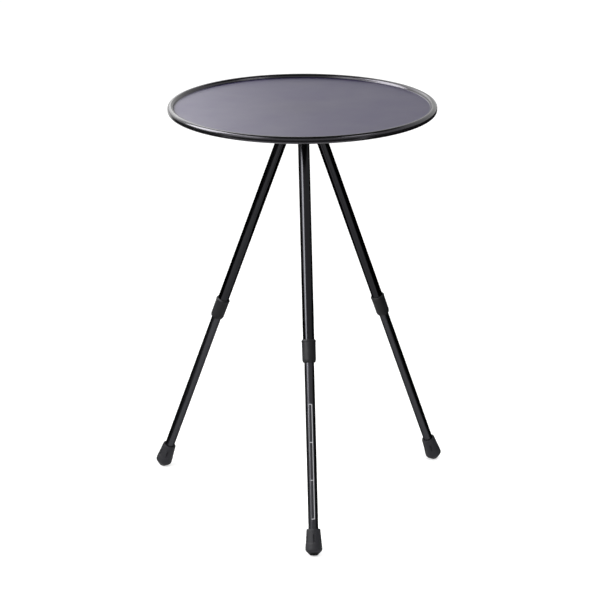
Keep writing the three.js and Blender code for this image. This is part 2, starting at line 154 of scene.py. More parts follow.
# Clamp
CLAMP_SCREW_RADIUS = 3 * MM
M6_PITCH = 1 * MM
CLAMP_FLATS = 10 * MM
GROOVE_DEPTH = 0.6 * MM
KNOB_WEB = 3 * MM
KNOB_ROUND_RADIUS = 9.5 * MM
KNOB_LOBES = 6
KNOB_LOBE_DEPTH = 1.6 * MM

# Knuckle and twist lock
TONGUE_HALF = 7 * MM
TONGUE_THICKNESS = 8 * MM
KNUCKLE_SHOULDER = 2 * MM
PIN_RADIUS = 1.25 * MM
EXPANDER_STUD = 2.5 * MM
M5_PITCH = 0.8 * MM
SLEEVE_MOUTH_WALL = 1.4 * MM
SLEEVE_TAPER = 14 * MM
SLEEVE_SLOT = 2 * MM
SLEEVE_SLOT_SHARE = 0.75
SLEEVE_RING_DEPTH = 0.25 * MM
SLEEVE_RING_PITCH = 1.6 * MM
CONE_HEAD = 4 * MM
CONE_NOTCH = (0.9 * MM, 1.6 * MM)
PLUG_FLANGE = 2 * MM
PLUG_STEPS = 96
PLUG_RIBS = 8
PLUG_RIB_DEPTH = 0.3 * MM

# Printed scale on a lower tube: heights are along the leg, below its pivot
PRINT_LOW = -569.1 * MM
PRINT_HIGH = -401.2 * MM
PRINT_BARS = (-512.4 * MM, -457.0 * MM)
PRINT_WIDTH = 5.2 * MM
PRINT_CENTRE = -0.8 * MM
PRINT_LINE = 1.1 * MM
# Across the tube, the stretch over which painted shade fades the left line
PRINT_SHADE_FADE = (-2.0 * MM, -1.0 * MM)
PRINT_CORNER = 1.5 * MM
PRINT_BLUR = 0.1 * MM

# Studio: the camera as solved from the photograph, with its lens and sensor in millimetres, how far
# the floor glows and the sky lights, and the watts that make a square metre of lamp look white
CAMERA_LENS = 153.51
CAMERA_SENSOR = 36
CAMERA_PLACE = (-0.22125, -3.73213, 1.54185)
CAMERA_HEADING = -3.434
CAMERA_PITCH = 90 - 18.186
CAMERA_ROLL = -0.193
FLOOR_HALF = 9
FLOOR_GLOW = 0.42
SKY_LIGHT = 0.7
LAMP_WATTS = 4
LAMP_AIM = 0.5

# Places that the frame gives
joints = {joint["name"]: joint for joint in frame["joints"]}
pivot_height = joints["leg_fold_front"]["pos_m"][2]
tray_low, tray_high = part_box("table_top")


def middle(node):
    """The middle of a node's box."""
    low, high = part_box(node)
    return (low + high) / 2


hub_place = Matrix.Translation((*middle("table_top").xy, pivot_height))


def leg_place(leg):
    """The leg's own frame: its pivot at zero, X outward, Y along the fold's axis, Z up the leg."""
    across = Vector(joints[f"leg_fold_{leg}"]["axis"]).normalized()
    up = Vector(joints[f"leg_slide_{leg}"]["axis"]).normalized()
    out = across.cross(up).normalized()
    turn = Matrix((out, across, up)).transposed().to_4x4()
    return Matrix.Translation(joints[f"leg_fold_{leg}"]["pos_m"]) @ turn


def reach(node, place):
    """A node's lowest and highest point along its own Z axis, and its radius about it."""
    back = place.inverted()
    spots = [back @ vertex.co for vertex in frame["nodes"][node].data.vertices]
    heights = [spot.z for spot in spots]
    return min(heights), max(heights), max(math.hypot(spot.x, spot.y) for spot in spots)


# Outlines
def arc(x, z, radius, start, end, steps, flatness=1.0):
    """Points on an arc, with its angles in degrees."""
    angles = [math.radians(start + (end - start) * i / steps) for i in range(steps + 1)]
    return [(x + radius * math.cos(a), z + flatness * radius * math.sin(a)) for a in angles]


def rounded(corners, closed=False, steps=5):
    """An outline from corners (x, z) or (x, z, fillet), where each fillet becomes an arc."""
    points = []
    for i, (x, z, *fillet) in enumerate(corners):
        here = Vector((x, z))
        inner = closed or 0 < i < len(corners) - 1
        if not (fillet and inner):
            points.append(here)
            continue
        back = Vector(corners[i - 1][:2]) - here
        on = Vector(corners[(i + 1) % len(corners)][:2]) - here
        half = back.angle(on) / 2
        run = min(fillet[0] / math.tan(half), 0.48 * back.length, 0.48 * on.length)
        radius = run * math.tan(half)
        centre = here + (back.normalized() + on.normalized()).normalized() * radius / math.sin(half)
        start = here + back.normalized() * run - centre
        end = here + on.normalized() * run - centre
        turn = -start.angle_signed(end)
        points += [centre + Matrix.Rotation(turn * k / steps, 2) @ start for k in range(steps + 1)]
    return [tuple(point) for point in points]


def with_rows(points, step, closed=False):
    """The outline with its long straight stretches cut into rows no taller than step."""
    ends = points[1:] + (points[:1] if closed else [])
    rows = []
    for start, end in zip(points, ends):
        count = max(1, math.ceil(math.dist(start, end) / step))
        rows += [tuple(Vector(start).lerp(Vector(end), k / count)) for k in range(count)]
    return rows if closed else rows + points[-1:]


def guarded(points, closed=False):
    """The outline with a point just inside both ends of a long stretch, so that flats look flat."""
    ends = points[1:] + (points[:1] if closed else [])
    rows = []
    for start, end in zip(points, ends):
        rows.append(start)
        length = math.dist(start, end)
        if length > 5 * GUARD_INSET:
            shares = (GUARD_INSET / length, 1 - GUARD_INSET / length)
            rows += [tuple(Vector(start).lerp(Vector(end), share)) for share in shares]
    return rows if closed else rows + points[-1:]


# Shapes
def turned(points, steps, closed=False):
    """A closed shape turned about Z from an outline that ends on the axis or closes on itself."""
    points = guarded(points, closed)
    bm = bmesh.new()
    corners = [bm.verts.new((x, 0, z)) for x, z in points]
    pairs = list(zip(corners, corners[1:])) + ([(corners[-1], corners[0])] if closed else [])
    edges = [bm.edges.new(pair) for pair in pairs]
    bmesh.ops.spin(bm, geom=corners + edges, cent=(0, 0, 0), axis=(0, 0, 1), angle=FULL_TURN,
                   steps=steps, use_merge=True)
    bmesh.ops.remove_doubles(bm, verts=bm.verts, dist=MERGE_REACH)
    bmesh.ops.recalc_face_normals(bm, faces=bm.faces)
    return bm


def turned_sleeve(corners, row, steps):
    """A turned shape with a bore, from corners that close on themselves, in rows no taller than row."""
    return turned(with_rows(rounded(corners, closed=True), row, closed=True), steps, closed=True)


def reshaped(bm, rule):
    """Moves vertices in or out: the rule gives a new radius from the radius, angle and height."""
    for vertex in bm.verts:
        radius = math.hypot(vertex.co.x, vertex.co.y)
        if radius < MERGE_REACH:
            continue
        angle = math.atan2(vertex.co.y, vertex.co.x)
        share = rule(radius, angle, vertex.co.z) / radius
        vertex.co.x *= share
        vertex.co.y *= share
    return bm


def window(value, start, end, ease):
    """One between start and end, zero outside, with soft edges as wide as ease."""
    rise = min(max((value - start) / ease, 0), 1)
    fall = min(max((end - value) / ease, 0), 1)
    return (rise * rise * (3 - 2 * rise)) * (fall * fall * (3 - 2 * fall))


def to_nearest(angle, count):
    """The angle from the nearest of count evenly spread directions, the first of them along X."""
    pitch = FULL_TURN / count
    return (angle + pitch / 2) % pitch - pitch / 2


def new_object(name, data):
    thing = bpy.data.objects.new(name, data)
    bpy.context.scene.collection.objects.link(thing)
    return thing


def as_object(bm, name):
    """An object of a shape, which is used up."""
    mesh = bpy.data.meshes.new(name)
    bm.to_mesh(mesh)
    bm.free()
    return new_object(name, mesh)


def put(bm, name, body, finish, place, node, sharp=32):
    """Makes a shape a finished piece: placed, smooth, on its body and in its node's stead."""
    made = bm.verts.layers.float_vector.new("made_place")
    for vertex in bm.verts:
        vertex[made] = vertex.co
    bmesh.ops.transform(bm, matrix=place, verts=bm.verts)
    piece = as_object(bm, name)
    piece.data.polygons.foreach_set("use_smooth", [True] * len(piece.data.polygons))
    piece.data.set_sharp_from_angle(angle=math.radians(sharp))
    piece.data.materials.append(finish)
    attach(piece, body)
    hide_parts(node)


# Materials: grains and die lines finer than about 0.25 mm are drawn that coarse, so that they show
def linear(code):
    """A colour written as six hex digits in sRGB, as linear values."""
    parts = [int(code[i:i + 2], 16) / 255 for i in (0, 2, 4)]
    return tuple(p / 12.92 if p <= 0.04045 else ((p + 0.055) / 1.055) ** 2.4 for p in parts) + (1,)


def add(tree, kind, settings=None, **sockets):
    """Adds a node with its settings, and sets or links its sockets, named with _ for a space."""
    node = tree.nodes.new("ShaderNode" + kind)
    for name, value in (settings or {}).items():
        setattr(node, name, value)
    for name, value in sockets.items():
        socket = node.inputs[int(name[1:])] if name[0] == "i" and name[1:].isdigit() \
            else node.inputs[name.replace("_", " ")]
        if isinstance(value, bpy.types.NodeSocket):
            tree.links.new(value, socket)
        else:
            socket.default_value = value
    return node


def new_material(name):
    material = bpy.data.materials.new(name)
    material.use_nodes = True
    material.node_tree.nodes.clear()
    return material, material.node_tree


def new_finish(name, slot):
    """An empty material for a slot, and each point's place as its piece was made."""
    material, tree = new_material(name)
    material["slot"] = slot
    made = add(tree, "Attribute", {"attribute_name": "made_place"})
    return material, tree, made.outputs["Vector"]


def finished(material, skin):
    """The material, with the skin as its surface."""
    add(material.node_tree, "OutputMaterial", Surface=skin.outputs[0])
    return material


def powder_coat():
    """Black powder coat on spun aluminium: a satin floor with a violet sheen and a painted reflection
    that darkens its middle, and a glossier rim.
    """
    material, tree, made = new_finish("satin_powder_coat", "tray_paint")
    peel = add(tree, "TexNoise", Vector=made, Scale=1 / (2.2 * MM), Detail=1.0)
    grain = add(tree, "TexNoise", Vector=made, Scale=1 / (0.5 * MM), Detail=2.0)
    clouds = add(tree, "TexNoise", Vector=made, Scale=1 / (70 * MM), Detail=3.0)
    low_bump = add(tree, "Bump", Strength=0.2, Distance=0.03 * MM, Height=peel.outputs["Fac"])
    bump = add(tree, "Bump", Strength=0.25, Distance=0.01 * MM, Height=grain.outputs["Fac"],
               Normal=low_bump.outputs["Normal"])
    flat = add(tree, "VectorMath", {"operation": "MULTIPLY"}, i0=made, i1=(1, 1, 0))
    out = add(tree, "VectorMath", {"operation": "LENGTH"}, i0=flat.outputs[0])
    rim = add(tree, "MapRange", {"interpolation_type": "SMOOTHSTEP"}, Value=out.outputs["Value"],
              From_Min=RIM_SHADE[0], From_Max=RIM_SHADE[1]).outputs["Result"]
    height = add(tree, "SeparateXYZ", Vector=made).outputs["Z"]
    floor = tray_high.z - pivot_height - TRAY_DEPTH
    top = add(tree, "MapRange", Value=height, From_Min=floor - 1.2 * MM, From_Max=floor - 0.4 * MM)
    under = add(tree, "Math", {"operation": "SUBTRACT"}, i0=1.0, i1=top.outputs["Result"])
    plain = add(tree, "Math", {"operation": "MAXIMUM"}, i0=rim, i1=under.outputs[0]).outputs[0]
    rough = add(tree, "MapRange", Value=clouds.outputs["Fac"], From_Min=0.3, From_Max=0.7,
                To_Min=0.36, To_Max=0.41)
    rough = add(tree, "Mix", Factor=rim, i2=rough.outputs["Result"], i3=0.2)
    # Painted reflection: the floor's colour darkens towards its middle, standing in for a soft dark
    # reflection there
    centre = add(tree, "MapRange", {"interpolation_type": "SMOOTHSTEP"}, Value=out.outputs["Value"],
                 From_Min=0, From_Max=75 * MM, To_Min=0.35, To_Max=0)
    clouds = add(tree, "Math", {"operation": "SUBTRACT"}, i0=clouds.outputs["Fac"],
                 i1=centre.outputs["Result"])
    shade = add(tree, "ValToRGB", Fac=clouds.outputs[0])
    shade.color_ramp.elements[0].color = linear("15102b")
    shade.color_ramp.elements[1].color = linear("231e3e")
    shade = add(tree, "Mix", {"data_type": "RGBA"}, Factor=plain, i6=shade.outputs["Color"],
                i7=linear("0e0e0f"))
    tint = add(tree, "Mix", {"data_type": "RGBA"}, Factor=plain, i6=(0.6, 0.5, 1, 1),
               i7=(0.88, 0.85, 0.95, 1))
    skin = add(tree, "BsdfPrincipled", Base_Color=shade.outputs[2], IOR=1.5,
               Roughness=rough.outputs[0], Normal=bump.outputs["Normal"], Specular_Tint=tint.outputs[2])
    return finished(material, skin)


def scale_print(tree, made):
    """The printed box scale as a mask: one where its ink lies, with painted shade that leaves the left
    line faint.
    """
    spot = add(tree, "SeparateXYZ", Vector=made)
    angle = add(tree, "Math", {"operation": "ARCTAN2"}, i0=spot.outputs["Y"], i1=spot.outputs["X"])
    round_tube = add(tree, "Math", {"operation": "MULTIPLY"}, i0=angle.outputs[0], i1=LOWER_TUBE_RADIUS)
    flat = add(tree, "CombineXYZ", X=round_tube.outputs[0], Y=spot.outputs["Z"])
    ends = (PRINT_LOW, *PRINT_BARS, PRINT_HIGH)
    gaps = [(low + PRINT_LINE / 2, high - PRINT_LINE / 2) for low, high in zip(ends, ends[1:])]
    outer = (PRINT_LOW - PRINT_LINE / 2, PRINT_HIGH + PRINT_LINE / 2)
    frames = [(*outer, PRINT_WIDTH + PRINT_LINE, PRINT_CORNER)]
    frames += [(*gap, PRINT_WIDTH - PRINT_LINE, PRINT_CORNER / 2) for gap in gaps]
    masks = []
    for low, high, width, corner in frames:
        half = (width / 2 - corner, (high - low) / 2 - corner, 0)
        centred = add(tree, "VectorMath", {"operation": "SUBTRACT"}, i0=flat.outputs[0],
                      i1=(PRINT_CENTRE, (low + high) / 2, 0))
        folded = add(tree, "VectorMath", {"operation": "ABSOLUTE"}, i0=centred.outputs[0])
        beyond = add(tree, "VectorMath", {"operation": "SUBTRACT"}, i0=folded.outputs[0], i1=half)
        beyond = add(tree, "VectorMath", {"operation": "MAXIMUM"}, i0=beyond.outputs[0], i1=(0, 0, 0))
        away = add(tree, "VectorMath", {"operation": "LENGTH"}, i0=beyond.outputs[0])
        mask = add(tree, "MapRange", Value=away.outputs["Value"], From_Min=corner + PRINT_BLUR,
                   From_Max=corner - PRINT_BLUR)
        masks.append(mask.outputs["Result"])
    holes = masks[1]
    for mask in masks[2:]:
        holes = add(tree, "Math", {"operation": "MAXIMUM"}, i0=holes, i1=mask).outputs[0]
    ink = add(tree, "Math", {"operation": "SUBTRACT", "use_clamp": True}, i0=masks[0], i1=holes)
    # Painted shade: the ink thins towards the left line, which the light leaves dim
    shaded_left_line = add(tree, "MapRange", Value=round_tube.outputs[0], From_Min=PRINT_CENTRE + PRINT_SHADE_FADE[0],
               From_Max=PRINT_CENTRE + PRINT_SHADE_FADE[1], To_Min=0.12)
    ink = add(tree, "Math", {"operation": "MULTIPLY"}, i0=ink.outputs[0], i1=shaded_left_line.outputs["Result"])
    return ink.outputs[0]


def anodised_tube(name, colour, rough_range, printed=False):
    """Black anodised drawn aluminium: dyed oxide over the faint lines of the drawing die."""
    material, tree, made = new_finish(name, "tube_anodised")
    stretched = add(tree, "Mapping", Vector=made, Scale=(1, 1, 0.012))
    lines = add(tree, "TexNoise", Vector=stretched.outputs["Vector"], Scale=1 / (0.7 * MM), Detail=2.0)
    grain = add(tree, "TexNoise", Vector=made, Scale=1 / (0.25 * MM), Detail=1.0)
    low_bump = add(tree, "Bump", Strength=0.2, Distance=0.01 * MM, Height=lines.outputs["Fac"])
    bump = add(tree, "Bump", Strength=0.2, Distance=0.006 * MM, Height=grain.outputs["Fac"],
               Normal=low_bump.outputs["Normal"])
    rough = add(tree, "MapRange", Value=lines.outputs["Fac"], From_Min=0.3, From_Max=0.7,
                To_Min=rough_range[0], To_Max=rough_range[1])
    skin = add(tree, "BsdfPrincipled", Base_Color=linear(colour), Metallic=1.0,
               Roughness=rough.outputs["Result"], Normal=bump.outputs["Normal"],
               Specular_Tint=(0.05, 0.05, 0.05, 1))
    if printed:
        ink = scale_print(tree, made)
        colour = add(tree, "Mix", {"data_type": "RGBA"}, Factor=ink, i6=linear(colour),
                     i7=linear("a8a8ac"))
        bare = add(tree, "Math", {"operation": "SUBTRACT"}, i0=1.0, i1=ink)
        tree.links.new(colour.outputs[2], skin.inputs["Base Color"])
        tree.links.new(bare.outputs[0], skin.inputs["Metallic"])
    return finished(material, skin)


def moulded_nylon():
    """Black glass-filled nylon from a spark-eroded mould: a fine even matt grain."""
    material, tree, made = new_finish("moulded_nylon", "nylon")
    grain = add(tree, "TexNoise", Vector=made, Scale=1 / (0.35 * MM), Detail=2.0)
    flow = add(tree, "TexNoise", Vector=made, Scale=1 / (9 * MM), Detail=2.0)
    bump = add(tree, "Bump", Strength=0.35, Distance=0.03 * MM, Height=grain.outputs["Fac"])
    rough = add(tree, "MapRange", Value=flow.outputs["Fac"], From_Min=0.3, From_Max=0.7,
                To_Min=0.52, To_Max=0.62)
    shade = add(tree, "ValToRGB", Fac=flow.outputs["Fac"])
    shade.color_ramp.elements[0].color = linear("0d0d0f")
    shade.color_ramp.elements[1].color = linear("131315")
    skin = add(tree, "BsdfPrincipled", Base_Color=shade.outputs["Color"], IOR=1.53,
               Roughness=rough.outputs["Result"], Normal=bump.outputs["Normal"],
               Specular_IOR_Level=0.15)
    return finished(material, skin)


def moulded_rubber():
    """Black moulded rubber: a soft matt skin, paler where it blooms, with painted shade that darkens the
    sole and dulls its shine.
    """
    material, tree, made = new_finish("moulded_rubber", "foot_rubber")
    grain = add(tree, "TexNoise", Vector=made, Scale=1 / (0.5 * MM), Detail=3.0)
    bloom = add(tree, "TexNoise", Vector=made, Scale=1 / (6 * MM), Detail=3.0)
    bump = add(tree, "Bump", Strength=0.4, Distance=0.04 * MM, Height=grain.outputs["Fac"])
    shade = add(tree, "ValToRGB", Fac=bloom.outputs["Fac"])
    shade.color_ramp.elements[0].color = linear("1a1a1d")
    shade.color_ramp.elements[1].color = linear("242428")
    # Painted shade: a few millimetres up from the sole the colour turns near black and the reflection is
    # dimmed, standing in for the shadow under the foot
    sole = reach("leg_foot_front", leg_place("front"))[0]
    height = add(tree, "SeparateXYZ", Vector=made).outputs["Z"]
    side = add(tree, "MapRange", Value=height, From_Min=sole + FOOT_SHADE_EDGE[0],
               From_Max=sole + FOOT_SHADE_EDGE[1]).outputs["Result"]
    shade = add(tree, "Mix", {"data_type": "RGBA"}, Factor=side, i6=linear("030303"),
                i7=shade.outputs["Color"])
    tint = add(tree, "Mix", {"data_type": "RGBA"}, Factor=side, i6=(0.05, 0.05, 0.05, 1),
               i7=(1, 1, 1, 1))
    skin = add(tree, "BsdfPrincipled", Base_Color=shade.outputs[2], IOR=1.52,
               Roughness=0.6, Normal=bump.outputs["Normal"], Specular_IOR_Level=0.15,
               Specular_Tint=tint.outputs[2])
    return finished(material, skin)


def zinc_steel():
    """Steel under bright zinc: a pale metal with a slightly uneven, barrel-plated gloss."""
    material, tree, made = new_finish("zinc_plated_steel", "zinc_steel")
    blotch = add(tree, "TexNoise", Vector=made, Scale=1 / (2 * MM), Detail=3.0)
    bump = add(tree, "Bump", Strength=0.2, Distance=0.01 * MM, Height=blotch.outputs["Fac"])
    rough = add(tree, "MapRange", Value=blotch.outputs["Fac"], From_Min=0.3, From_Max=0.7,
                To_Min=0.26, To_Max=0.4)
    skin = add(tree, "BsdfPrincipled", Base_Color=linear("b9babc"), Metallic=1.0,
               Roughness=rough.outputs["Result"], Normal=bump.outputs["Normal"])
    return finished(material, skin)


def turned_brass():
    """Turned brass: a warm metal with the fine rings that the lathe tool leaves."""
    material, tree, made = new_finish("turned_brass", "brass")
    rings = add(tree, "Mapping", Vector=made, Scale=(0.02, 0.02, 1))
    cuts = add(tree, "TexNoise", Vector=rings.outputs["Vector"], Scale=1 / (0.3 * MM), Detail=1.0)
    bump = add(tree, "Bump", Strength=0.2, Distance=0.01 * MM, Height=cuts.outputs["Fac"])
    rough = add(tree, "MapRange", Value=cuts.outputs["Fac"], From_Min=0.3, From_Max=0.7,
                To_Min=0.22, To_Max=0.34)
    skin = add(tree, "BsdfPrincipled", Base_Color=linear("c4a35c"), Metallic=1.0,
               Roughness=rough.outputs["Result"], Normal=bump.outputs["Normal"])
    return finished(material, skin)


TRAY_PAINT = powder_coat()
UPPER_TUBE = anodised_tube("bright_dipped_black_anodised", "252527", (0.13, 0.19))
LOWER_TUBE = anodised_tube("satin_black_anodised", "353538", (0.25, 0.33), printed=True)
NYLON = moulded_nylon()
RUBBER = moulded_rubber()
ZINC = zinc_steel()
BRASS = turned_brass()


# Tray
def make_tray():
    radius = (tray_high.x - tray_low.x) / 2
    top = tray_high.z - pivot_height
    low = tray_low.z - pivot_height
    underside = top - TRAY_DEPTH - TRAY_SHEET
    crest = (radius - RIM_CREST, top - RIM_CREST)
    curl = (radius - RIM_CURL, low + RIM_CURL)
    rise = RIM_CREST + FLOOR_FILLET - TRAY_DEPTH
    span = RIM_CREST + FLOOR_FILLET
    lean = math.degrees(math.asin(rise / span))
    fillet = (crest[0] - span * math.cos(math.radians(lean)), crest[1] + rise)

    def skin(depth):
        return (arc(*fillet, FLOOR_FILLET + depth, -90, -lean, 8)
                + arc(*crest, RIM_CREST - depth, 180 - lean, 0, 22)[1:]
                + arc(*curl, RIM_CURL - depth, 0, -RIM_CURL_TURN, 14))

    outline = [(0, underside), *skin(TRAY_SHEET), *skin(0)[::-1], (0, underside + TRAY_SHEET)]
    put(turned(outline, TRAY_STEPS), "spun_tray", "tabletop", TRAY_PAINT, hub_place, "table_top")


# Legs
def make_collar(leg, place):
    low, high, _ = reach(f"leg_collar_{leg}", place)
    grip = reach(f"upper_tube_{leg}", place)[2] + SEAT_GAP
    guide = reach(f"lower_tube_{leg}", place)[2] + SEAT_GAP
    length = high - low
    step = high - COLLAR_GRIP_DEPTH
    nose_start = high - COLLAR_NOSE_SHARE * length
    tip = guide + COLLAR_NOSE_WALL
    nose = grip + COLLAR_WAIST_WALL - tip
    corners = [(grip + wall, high - share * length, fillet) for share, wall, fillet in COLLAR_CORNERS]
    corners += arc(tip, nose_start, nose, 0, -90, 10, (nose_start - low) / nose)
    corners += [(guide, low), (guide, step), (grip, step), (grip, high)]

    def notches(radius, angle, height):
        if radius < guide + 0.4 * MM or height > nose_start:
            return radius
        away = abs(to_nearest(angle, COLLAR_NOTCHES)) * radius
        deep = window(height, low + 0.5 * MM, nose_start - 0.5 * MM, 1.2 * MM)
        deep *= window(away, -COLLAR_NOTCH_HALF, COLLAR_NOTCH_HALF, 0.7 * MM)
        return radius - COLLAR_NOTCH_DEPTH * deep

    put(reshaped(turned_sleeve(corners, 1.2 * MM, COLLAR_STEPS), notches), f"{leg}_collar",
        f"upper_leg_{leg}", NYLON, place, f"leg_collar_{leg}")


def make_tube(leg, place, kind, wall, finish, pin_at=None):
    """A drawn tube, cut square, with a hole through it where a pin goes."""
    low, high, radius = reach(f"{kind}_tube_{leg}", place)
    tube = ring(radius - wall, radius, low, high, TUBE_EDGE, TUBE_STEPS)
    if pin_at is not None:
        hole = rod(PIN_RADIUS + SEAT_GAP, -2 * radius, 2 * radius, 32)
        tube = cut(tube, moved(hole, ALONG_Y, shift(0, 0, pin_at)))
    put(tube, f"{leg}_{kind}_tube", f"{kind}_leg_{leg}", finish, place, f"{kind}_tube_{leg}")


def make_foot(leg, place):
    low, high, widest = reach(f"leg_foot_{leg}", place)
    tube_end, _, tube_radius = reach(f"lower_tube_{leg}", place)
    bore = tube_radius + SEAT_GAP
    seat = tube_end - SEAT_GAP
    corners = [(0, seat), (bore, seat), (bore, high)]
    corners += [(radius, high - drop, fillet) for radius, drop, fillet in FOOT_CORNERS]
    corners += arc(widest - FOOT_END_ROUNDING, high - FOOT_WIDEST_DROP, FOOT_END_ROUNDING, 3, -45, 14)
    corners += arc(FOOT_SOLE_RADIUS, low + FOOT_SOLE_ROUNDING, FOOT_SOLE_ROUNDING, -45, -90, 8)
    points = with_rows(rounded([*corners, (0, low)]), 0.8 * MM)

    def grooves(radius, angle, height):
        """The grooves down the grip, above an end that stands a little proud of it."""
        if radius < bore + 0.8 * MM or height > high - 1.5 * MM:
            return radius
        away = abs(to_nearest(angle, FOOT_GROOVES)) * radius
        deep = window(height, high - FOOT_GRIP + 0.8 * MM, high - 7.5 * MM, 1.6 * MM)
        deep *= window(away, -FOOT_GROOVE_HALF, FOOT_GROOVE_HALF, 0.4 * MM)
        return radius - FOOT_GROOVE_DEPTH * deep

    put(reshaped(turned(points, FOOT_STEPS), grooves), f"{leg}_foot", f"lower_leg_{leg}", RUBBER,
        place, f"leg_foot_{leg}", sharp=50)


# Solid shapes, joined and cut
def combined(operation, base, *others):
    """Joins closed shapes to the first, cuts them from it or keeps what they share with it."""
    things = [as_object(bm, "work") for bm in (base, *others)]
    for other in things[1:]:
        step = things[0].modifiers.new("step", "BOOLEAN")
        step.operation = operation
        step.solver = "EXACT"
        step.object = other
    bm = bmesh.new()
    # The solver's threads now and then tear a shape or lose it, which another try mends
    for _ in range(CUT_TRIES):
        bm.clear()
        things[0].update_tag(refresh={"DATA"})
        bpy.context.view_layer.update()
        whole = things[0].evaluated_get(bpy.context.evaluated_depsgraph_get())
        bm.from_mesh(whole.to_mesh())
        whole.to_mesh_clear()
        bmesh.ops.remove_doubles(bm, verts=bm.verts, dist=MERGE_REACH)
        if bm.faces and all(edge.is_manifold for edge in bm.edges):
            break
    for thing in things:
        bpy.data.meshes.remove(thing.data)
    return bm


def joined(*shapes):
    return combined("UNION", *shapes)


def cut(base, *tools):
    return combined("DIFFERENCE", base, *tools)


def moved(bm, *steps):
    for step in steps:
        bmesh.ops.transform(bm, matrix=step, verts=bm.verts)
    return bm


def turn_z(degrees):
    return Matrix.Rotation(math.radians(degrees), 4, "Z")


def shift(x, y, z):
    return Matrix.Translation((x, y, z))


def softened(bm, width, corner=40):
    """Rounds the edges where faces meet at more than corner degrees."""
    bmesh.ops.dissolve_limit(bm, angle_limit=math.radians(0.2), verts=bm.verts, edges=bm.edges)
    edges = [edge for edge in bm.edges
             if edge.is_manifold and edge.calc_face_angle() > math.radians(corner)]
    bmesh.ops.bevel(bm, geom=edges, offset=width, offset_type="OFFSET", segments=2, profile=0.5,
                    affect="EDGES", clamp_overlap=True, material=-1)
    return bm


def rod(radius, low, high, steps=40):
    return turned([(0, low), (radius, low), (radius, high), (0, high)], steps)


def hex_bar(flats, low, high):
    """A hexagon bar by its width across flats, with two of the flats facing along X."""
    return moved(rod(flats / math.sqrt(3), low, high, steps=6), turn_z(30))


def slab(points, thickness, edge):
    """An outline in the plane of X and Z, given a thickness along Y and rounded edges."""
    bm = bmesh.new()
    corners = [bm.verts.new((x, -thickness / 2, z)) for x, z in points]
    face = bm.faces.new(corners)
    side = bmesh.ops.extrude_face_region(bm, geom=[face])["geom"]
    side = [part for part in side if isinstance(part, bmesh.types.BMVert)]
    bmesh.ops.translate(bm, vec=(0, thickness, 0), verts=side)
    bmesh.ops.recalc_face_normals(bm, faces=bm.faces)
    return softened(bm, edge)


def box(low, high):
    """A box by its lowest and highest corners."""
    bm = bmesh.new()
    bmesh.ops.create_cube(bm, size=1)
    sizes = [top - bottom for bottom, top in zip(low, high)]
    centre = [(top + bottom) / 2 for bottom, top in zip(low, high)]
    return moved(bm, Matrix.Diagonal((*sizes, 1)), shift(*centre))


def thread(radius, pitch, low, high):
    """The rule of a screw thread on a rod, which fades out at both of its ends."""
    def rule(at, angle, height):
        if at < 0.97 * radius:
            return at
        wave = abs(2 * ((height / pitch - angle / FULL_TURN) % 1) - 1)
        return at - 0.5 * pitch * wave * window(height, low, high, 0.6 * pitch)
    return rule


def threaded_rod(corners, radius, pitch, low, high, steps=32):
    """A turned rod with a thread between two heights, in rows fine enough to carry it."""
    points = with_rows(rounded(corners), pitch / 6)
    return reshaped(turned(points, steps), thread(radius, pitch, low, high))


def ring(inner, outer, low, high, edge, steps=64):
    """A flat ring or sleeve with rounded edges."""
    corners = [(inner, low, edge), (outer, low, edge), (outer, high, edge), (inner, high, edge)]
    return turned(rounded(corners, closed=True, steps=3), steps, closed=True)


def hex_nut(flats, bore, low, high):
    """A hexagon nut with the round chamfers of a turned blank and a countersunk bore."""
    corner = flats / math.sqrt(3)
    face = 0.475 * flats
    past = face + 1.5 * (corner - face)
    chamfer = 1.5 * 0.4 * (corner - flats / 2)
    blank = turned([(0, low), (face, low), (past, low + chamfer), (past, high - chamfer),
                    (face, high), (0, high)], 72)
    bar = hex_bar(flats, low - CUT_OVERRUN, high + CUT_OVERRUN)
    dip = 0.35 * MM
    hole = turned([(0, low - dip), (bore + 2 * dip, low - dip), (bore, low + dip), (bore, high - dip),
                   (bore + 2 * dip, high + dip), (0, high + dip)], 40)
    return cut(combined("INTERSECT", bar, blank), hole)


